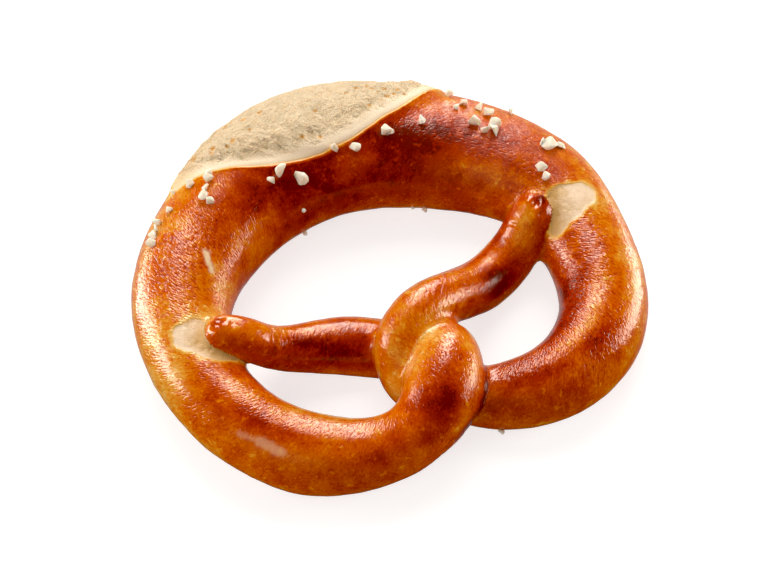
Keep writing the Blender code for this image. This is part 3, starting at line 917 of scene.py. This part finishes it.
def bakedCrust(tree, level, folds, tone, bubbles, crumb, window):  # tone by how hard it baked
    look = crustFinish
    level = addShare(tree, tone, look["mottleTone"], level)
    centred = addShare(tree, readAttribute(tree, "wrinkled"), -look["foldMiddle"], folds)
    level = addShare(tree, centred, look["foldTone"], level)
    streaks = rangeOf(tree, useGroup(tree, crinkle, **look["streaks"]), *look["streakEdge"])
    streaks = times(tree, streaks, rangeOf(tree, tone, *look["streakWhere"]))
    level = addShare(tree, streaks, look["streakTone"], level)
    level = addShare(tree, rangeOf(tree, crumb, *look["lipReach"]), look["lipTone"], level)
    level = addShare(tree, rangeOf(tree, window, *look["windowReach"]), look["windowTone"], level, clamp=True)
    level = addShare(tree, bubbles, look["bubbleTone"], level, clamp=True)
    return ramp(tree, level, look["tones"])


def tornCrumb(tree, tone, crumb, torn, hollowWithPaintedLight):  # band, ridges, hollows painted lighter against their shade, yellower on top, toasted pores
    look = crumbFinish
    fromUpper = rangeOf(tree, readAttribute(tree, "fromUpper"), *look["upperReach"])
    flecked = times(tree, addShare(tree, tone, 1.3, 0.3, clamp=True), torn)
    colour = mixColour(tree, torn, look["band"], look["ridge"])
    for share, name in (
            (hollowWithPaintedLight, "hollowWithPaintedLight"), (times(tree, flecked, look["fleckShare"]), "fleck"),
            (times(tree, fromUpper, look["upperShare"]), "upper"),
            (times(tree, readAttribute(tree, "pores"), look["poreShare"]), "pore"),
            (rangeOf(tree, crumb, 1.2, 0.0), "edge")):
        colour = mixColour(tree, share, colour, look[name])
    return colour


def paleWindow(tree, window):  # dough that the tips covered, stained where they rubbed
    rubbed = addShare(tree, readAttribute(tree, "nearTip"), crumbFinish["rubStain"], -0.05)
    tone = useGroup(tree, mottle, **crumbFinish["windowMottle"])
    stained = addShare(tree, tone, crumbFinish["windowUneven"], rubbed, clamp=True)
    pale = mixColour(tree, stained, crumbFinish["window"], crumbFinish["windowStain"])
    return mixColour(tree, rangeOf(tree, window, 0.8, 0.0), pale, crumbFinish["edge"])


def pretzelSkin():
    material, tree, skin = newFinish("pretzelSkin")
    level, wrinkled, crumb, window, torn, hollowWithPaintedLight, lengthwise = (readAttribute(tree, name) for name in (
        "browning", "wrinkled", "crumb", "window", "torn", "hollowWithPaintedLight", "lengthwise"))
    tone = useGroup(tree, mottle, **crustFinish["mottle"])
    crumbTone = useGroup(tree, mottle, **crumbFinish["mottle"])
    across, along, broad = (useGroup(tree, crinkle, **crustFinish[name])
                            for name in ("wrinkles", "turned", "folds"))
    fine = mathNode(tree, "ADD", across, times(tree, mathNode(tree, "SUBTRACT", along, across), lengthwise))
    folds = times(tree, mathNode(tree, "ADD", fine, broad), wrinkled)
    bubbles = useGroup(tree, specks, **crustFinish["bubbles"])

    colour = mixColour(
        tree, rangeOf(tree, crumb, -0.12, 0.12), bakedCrust(tree, level, folds, tone, bubbles, crumb, window),
        tornCrumb(tree, crumbTone, crumb, torn, hollowWithPaintedLight))
    colour = mixColour(tree, rangeOf(tree, window, -0.15, 0.15), colour, paleWindow(tree, window))
    # pale scuffs, and a painted highlight on the front left loop
    colour = mixColour(tree, readAttribute(tree, "scuffedAndPaintedGlint"), colour, crumbFinish["scuffAndPaintedGlint"])
    tree.links.new(colour, skin.inputs["Base Color"])

    windowMatte = times(tree, rangeOf(tree, window, -0.1, 0.4), crumbFinish["windowMatte"])
    matte = mathNode(tree, "MAXIMUM", rangeOf(tree, crumb, -0.2, 0.4), windowMatte)
    rough = addShare(tree, tone, crustFinish["mottleRough"], crustFinish["roughness"])
    rough = addShare(tree, lengthwise, crustFinish["turnedRough"], rough)
    tree.links.new(addShare(tree, matte, crumbFinish["matte"], rough), skin.inputs["Roughness"])
    skin.inputs["Specular IOR Level"].default_value = crustFinish["specular"]
    skin.inputs["Specular Tint"].default_value = (*crustFinish["glossTint"], 1)

    height = addShare(tree, bubbles, crustFinish["bubbleRise"], folds)
    height = times(tree, height, mathNode(tree, "SUBTRACT", 1.0, matte))
    crumbDepth = addShare(tree, torn, crumbFinish["tornDepth"], crumbFinish["bandDepth"])
    crumbDepth = addShare(tree, hollowWithPaintedLight, crumbFinish["hollowDepth"], crumbDepth)
    height = addShare(tree, times(tree, crumbTone, crumbDepth), matte, height)
    tree.links.new(bumpFrom(tree, height, mm), skin.inputs["Normal"])
    return material


# coarse salt: broken crystals that stick to the crust
salt = {
    "grains": (  # run, angle, size
        (281.5, -30.6, 3.9), (277, -31.6, 2.5), (288, -47, 4.6),  # under the split, in the middle
        (265, 23.5, 2.6), (263, 18.5, 3.1), (259.8, 35.4, 2.9), (260, 15.6, 2.6), (257, 11, 3.4),
        (257, 1.9, 2.6),
        (256.9, 56.6, 2.2), (250, 43, 2.3), (245.5, 52, 2.9), (243, 48, 2.6), (241, 50, 3.4),
        (238.2, 45, 3.0),
        (304.9, -32, 2.8), (313.1, -35, 3.4), (323.6, -17.5, 3.6), (325.8, -19.3, 2.6), (336.1, -5.7, 2.6),
        (343, 49.3, 2.6), (348, 35.6, 3.0), (346.4, 26.2, 2.0), (353, 34, 3.1), (356.5, 28.7, 3.3),
        # to the right
        (353.1, 8.6, 3.6), (360, 12, 3.8), (360.3, 4.5, 3.9), (357.1, -0.1, 2.8), (361.6, 52.3, 2.6),
        (376.8, 22.7, 4.3), (375.4, 19.6, 2.4), (378.8, 35.5, 3.2), (381.6, -10.4, 3.4),
        (384.9, -14.5, 2.9),
        (281.4, -73.5, 1.4), (280.1, -102.7, 1.6), (340.3, -102.5, 2.0), (335.2, -102.6, 1.2),
        (483.1, 107, 2.0),
        # far side
        (268, 96, 3.2), (276, 104, 2.8), (300, 99, 3.4), (306, 90, 2.6), (338, 98, 3.4), (344, 97, 2.8),
        (372, 106, 3.2), (379, 110, 2.8), (352, 106, 2.6),
    ),
    "sunk": 0.25,
    "bigger": 1.1,
    "seed": 7,
    "corners": 11, "cornerReach": (0.82, 1.0), "squash": (0.72, 1.0),
    "worn": 0.1,  # how far its edges wore off
    "above": 60.0,  # each is dropped from here onto the crust
    "farthest": 1.6,  # no corner is further out than this many times the middling one
    "tones": ((0.97, 0.88, 0.74), (0.93, 0.77, 0.58)), "mottle": {"Size": 1.6, "Fine": 0.4, "Share": 0.5},
    "toneUneven": 0.9, "toneMiddle": 0.4,
    "roughness": 0.42, "roughUneven": 0.2, "glow": 0.7, "glowDepth": 0.0015, "glowTint": (1.0, 0.8, 0.6),
    "bumpDepth": 0.08,
}


def saltGrain(random):  # a crystal: the hull of a few points, its edges worn
    sheet = bmesh.new()
    squash = random.uniform(*salt["squash"], 3)
    for _ in range(salt["corners"]):
        point = random.normal(size=3)
        point *= random.uniform(*salt["cornerReach"]) / np.linalg.norm(point)
        sheet.verts.new(point * squash)
    bmesh.ops.convex_hull(sheet, input=sheet.verts)
    bmesh.ops.delete(sheet, geom=[vert for vert in sheet.verts if not vert.link_faces], context="VERTS")
    bmesh.ops.bevel(sheet, geom=sheet.edges[:], offset=salt["worn"], segments=2, profile=0.5, affect="EDGES",
                    clamp_overlap=True)
    bmesh.ops.recalc_face_normals(sheet, faces=sheet.faces)
    sheet.verts.index_update()
    points = np.array([vert.co[:] for vert in sheet.verts])
    faces = [[vert.index for vert in face.verts] for face in sheet.faces]
    sheet.free()
    points -= points.mean(0)
    far = np.linalg.norm(points, axis=1, keepdims=True)
    points *= np.minimum(1, salt["farthest"] * np.median(far) / far)
    reach = np.ptp(points, axis=0)
    return points / np.sort(reach)[1:].mean(), faces  # about 1 across


def strewSalt(laid, body):
    random = np.random.default_rng(salt["seed"])
    surface = BVHTree.FromObject(body, bpy.context.evaluated_depsgraph_get())
    allPoints, allFaces = [], []
    for run, degrees, size in salt["grains"]:
        ring = {name: np.array([np.interp(run, laid["run"], column) for column in np.atleast_2d(values.T)])
                for name, values in laid.items() if name != "run"}
        angle = math.radians(degrees)
        outward = ring["outer"] * math.sin(angle) + ring["up"] * math.cos(angle)
        start = Vector((ring["middle"] + outward * salt["above"]) * mm)
        place, normal, _, _ = surface.ray_cast(start, Vector(-outward))
        points, faces = saltGrain(random)
        turn = np.linalg.qr(random.normal(size=(3, 3)))[0]
        turn *= np.sign(np.linalg.det(turn))
        points = points @ turn.T * size * salt["bigger"] * mm
        lift = -(points @ np.array(normal)).min() * (1 - salt["sunk"])
        points += np.array(place) + np.array(normal) * lift
        offset = sum(len(part) for part in allPoints)
        allPoints.append(points)
        allFaces += [[offset + i for i in face] for face in faces]
    mesh = bpy.data.meshes.new("saltGrains")
    mesh.from_pydata(np.concatenate(allPoints).tolist(), [], allFaces)
    mesh.shade_smooth()
    grains = standIn("saltGrains", mesh)
    report(f"{len(allPoints)} grains of salt, {len(mesh.polygons)} faces")
    return grains


def saltFinish():
    material, tree, crystal = newFinish("coarseSalt")
    tone = useGroup(tree, mottle, **salt["mottle"])
    share = addShare(tree, tone, salt["toneUneven"], salt["toneMiddle"], clamp=True)
    tree.links.new(mixColour(tree, share, *salt["tones"]), crystal.inputs["Base Color"])
    crystal.inputs["Subsurface Weight"].default_value = salt["glow"]
    crystal.inputs["Subsurface Radius"].default_value = salt["glowTint"]
    crystal.inputs["Subsurface Scale"].default_value = salt["glowDepth"]
    rough = addShare(tree, tone, salt["roughUneven"], salt["roughness"])
    tree.links.new(rough, crystal.inputs["Roughness"])
    tree.links.new(bumpFrom(tree, tone, salt["bumpDepth"] * mm), crystal.inputs["Normal"])
    return material


# the studio: bearings are seen from above, clockwise from the direction in which the camera looks
studio = {
    "azimuth": -25.0, "elevation": 57.0, "distance": 0.690, "lens": 100.0,
    "aim": (0.0010, -0.0069, 0.010), "shift": (-0.0065, 0.0084),
    "floorSize": 9.0, "floorTones": ((0.50, 0.50, 0.496), (0.4925, 0.4925, 0.48856)),
    "floorMottle": {"Size": 60.0, "Fine": 12.0, "Share": 0.5},
    "lamps": (  # name, bearing, elevation, distance, width, height, roll, brightness, what it gives
        ("leftBox", -76.0, 7.0, 1.0, 0.33, 1.0, -40.0, 10.0, "glints"),
        ("backBox", 0.0, 30.0, 1.1, 0.40, 1.15, -12.0, 8.6, "glints"),
        ("rightBox", 68.0, 5.0, 1.0, 0.35, 1.0, 45.0, 7.2, "both"),
        ("rightFill", 68.0, 5.0, 1.0, 0.35, 1.0, 45.0, 3.0, "light"),
        ("leftFill", -85.0, 18.0, 1.0, 0.6, 0.6, 0.0, 4.4, "light"),
        ("backFill", 0.0, 46.0, 1.2, 1.0, 1.0, 0.0, 3.9, "light"),
        ("overheadFill", 0.0, 90.0, 1.6, 2.2, 2.2, 0.0, 0.1, "light"),
        ("frontFill", -150.0, 38.0, 1.3, 1.3, 1.0, 0.0, 1.28, "light"),
    ),
    "lampTint": (1.0, 0.965, 0.92), "worldFill": 0.13, "worldGloss": 0.01, "worldSeen": 0.93,
    "worldTint": (1, 0.995, 0.985),
    "tableGloss": 0.5,  # the bright table behind the pretzel, as the skin mirrors it
    "floorSeen": 0.72, "floorGlow": 0.25,  # its own light, as seen and as it falls on the pretzel
    "blackPoint": (0.004, 0.007, 0.010),
}


def bearing(degrees, elevation):  # unit vector
    turn = math.radians(studio["azimuth"] - degrees)
    rise = math.radians(elevation)
    return Vector((-math.sin(turn) * math.cos(rise), math.cos(turn) * math.cos(rise), math.sin(rise)))


def placeCamera():
    data = bpy.data.cameras.new("camera")
    data.lens = studio["lens"]
    data.shift_x, data.shift_y = studio["shift"]
    camera = standIn("camera", data)
    back = -bearing(0, -studio["elevation"])
    camera.location = Vector(studio["aim"]) + back * studio["distance"]
    camera.rotation_euler = back.to_track_quat("Z", "Y").to_euler()
    bpy.context.scene.camera = camera


def softLight(name, at, elevation, distance, width, height, roll, radiance, gives):
    data = bpy.data.lights.new(name, "AREA")
    data.shape = "RECTANGLE"
    data.size, data.size_y = width, height
    data.energy = radiance * math.pi * width * height
    light = standIn(name, data)
    light.location = bearing(at, elevation) * distance
    facing = light.location.to_track_quat("Z", "Y") @ Quaternion((0, 0, 1), math.radians(roll))
    light.rotation_euler = facing.to_euler()
    data.color = studio["lampTint"]
    light.visible_camera = False
    light.visible_glossy = gives != "light"
    light.visible_diffuse = gives != "glints"


def lightStudio():
    for lamp in studio["lamps"]:
        softLight(*lamp)
    world = bpy.data.worlds.new("studio")
    bpy.context.scene.world = world
    world.use_nodes = True
    tree = world.node_tree
    path = addNode(tree, "ShaderNodeLightPath")
    toward = addNode(tree, "ShaderNodeTexCoord").outputs["Generated"]
    facing = []
    for axis in (bearing(0, 0), (0, 0, -1)):  # away from the camera, and down
        turned = addNode(tree, "ShaderNodeVectorMath", operation="DOT_PRODUCT")
        tree.links.new(toward, turned.inputs[0])
        turned.inputs[1].default_value = axis
        facing.append(turned.outputs["Value"])
    table = times(tree, rangeOf(tree, facing[0], 0.1, 0.6), rangeOf(tree, facing[1], 0.0, 0.25))
    fill = studio["worldFill"]
    mirrored = addShare(tree, table, studio["tableGloss"], studio["worldGloss"] - fill)
    glow = addShare(tree, path.outputs["Is Glossy Ray"], mirrored, fill)
    glow = addShare(tree, path.outputs["Is Camera Ray"], studio["worldSeen"] - fill, glow)
    tree.links.new(glow, tree.nodes["Background"].inputs["Strength"])
    tree.nodes["Background"].inputs["Color"].default_value = (*studio["worldTint"], 1)
    view = bpy.context.scene.view_settings
    view.view_transform = "Standard"
    view.use_curve_mapping = True
    view.curve_mapping.black_level = studio["blackPoint"]
    view.curve_mapping.update()


def layFloor():
    half = studio["floorSize"] / 2
    corners = [(-half, -half, 0), (half, -half, 0), (half, half, 0), (-half, half, 0)]
    mesh = bpy.data.meshes.new("floor")
    mesh.from_pydata(corners, [], [(0, 1, 2, 3)])
    floor = standIn("floor", mesh)
    material, tree, paint = newFinish("paleFloor")
    share = addShare(tree, useGroup(tree, mottle, **studio["floorMottle"]), 0.5, 0.5, clamp=True)
    tree.links.new(mixColour(tree, share, *studio["floorTones"]), paint.inputs["Base Color"])
    paint.inputs["Roughness"].default_value = 0.9
    paint.inputs["Emission Color"].default_value = (1, 1, 1, 1)
    seen = addNode(tree, "ShaderNodeLightPath").outputs["Is Camera Ray"]
    glow = addShare(tree, seen, studio["floorSeen"] - studio["floorGlow"], studio["floorGlow"])
    tree.links.new(glow, paint.inputs["Emission Strength"])
    paint.inputs["Specular IOR Level"].default_value = 0.0
    mesh.materials.append(material)
    floor.visible_glossy = False  # keeps the dark crust clear of haze
    return floor


laid = layRope()
pretzel = bakeBody(laid)
mottle, crinkle, specks = makeMottle(), makeCrinkle(), makeSpecks()
pretzel.data.materials.clear()
pretzel.data.materials.append(pretzelSkin())
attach(pretzel, "root")
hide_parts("pretzel")

grains = strewSalt(laid, pretzel)
grains.data.materials.append(saltFinish())
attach(grains, "root")

layFloor()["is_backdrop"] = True
placeCamera()
lightStudio()
report("studio set")

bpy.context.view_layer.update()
report(f"sizes kept, {len(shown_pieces())} pieces")
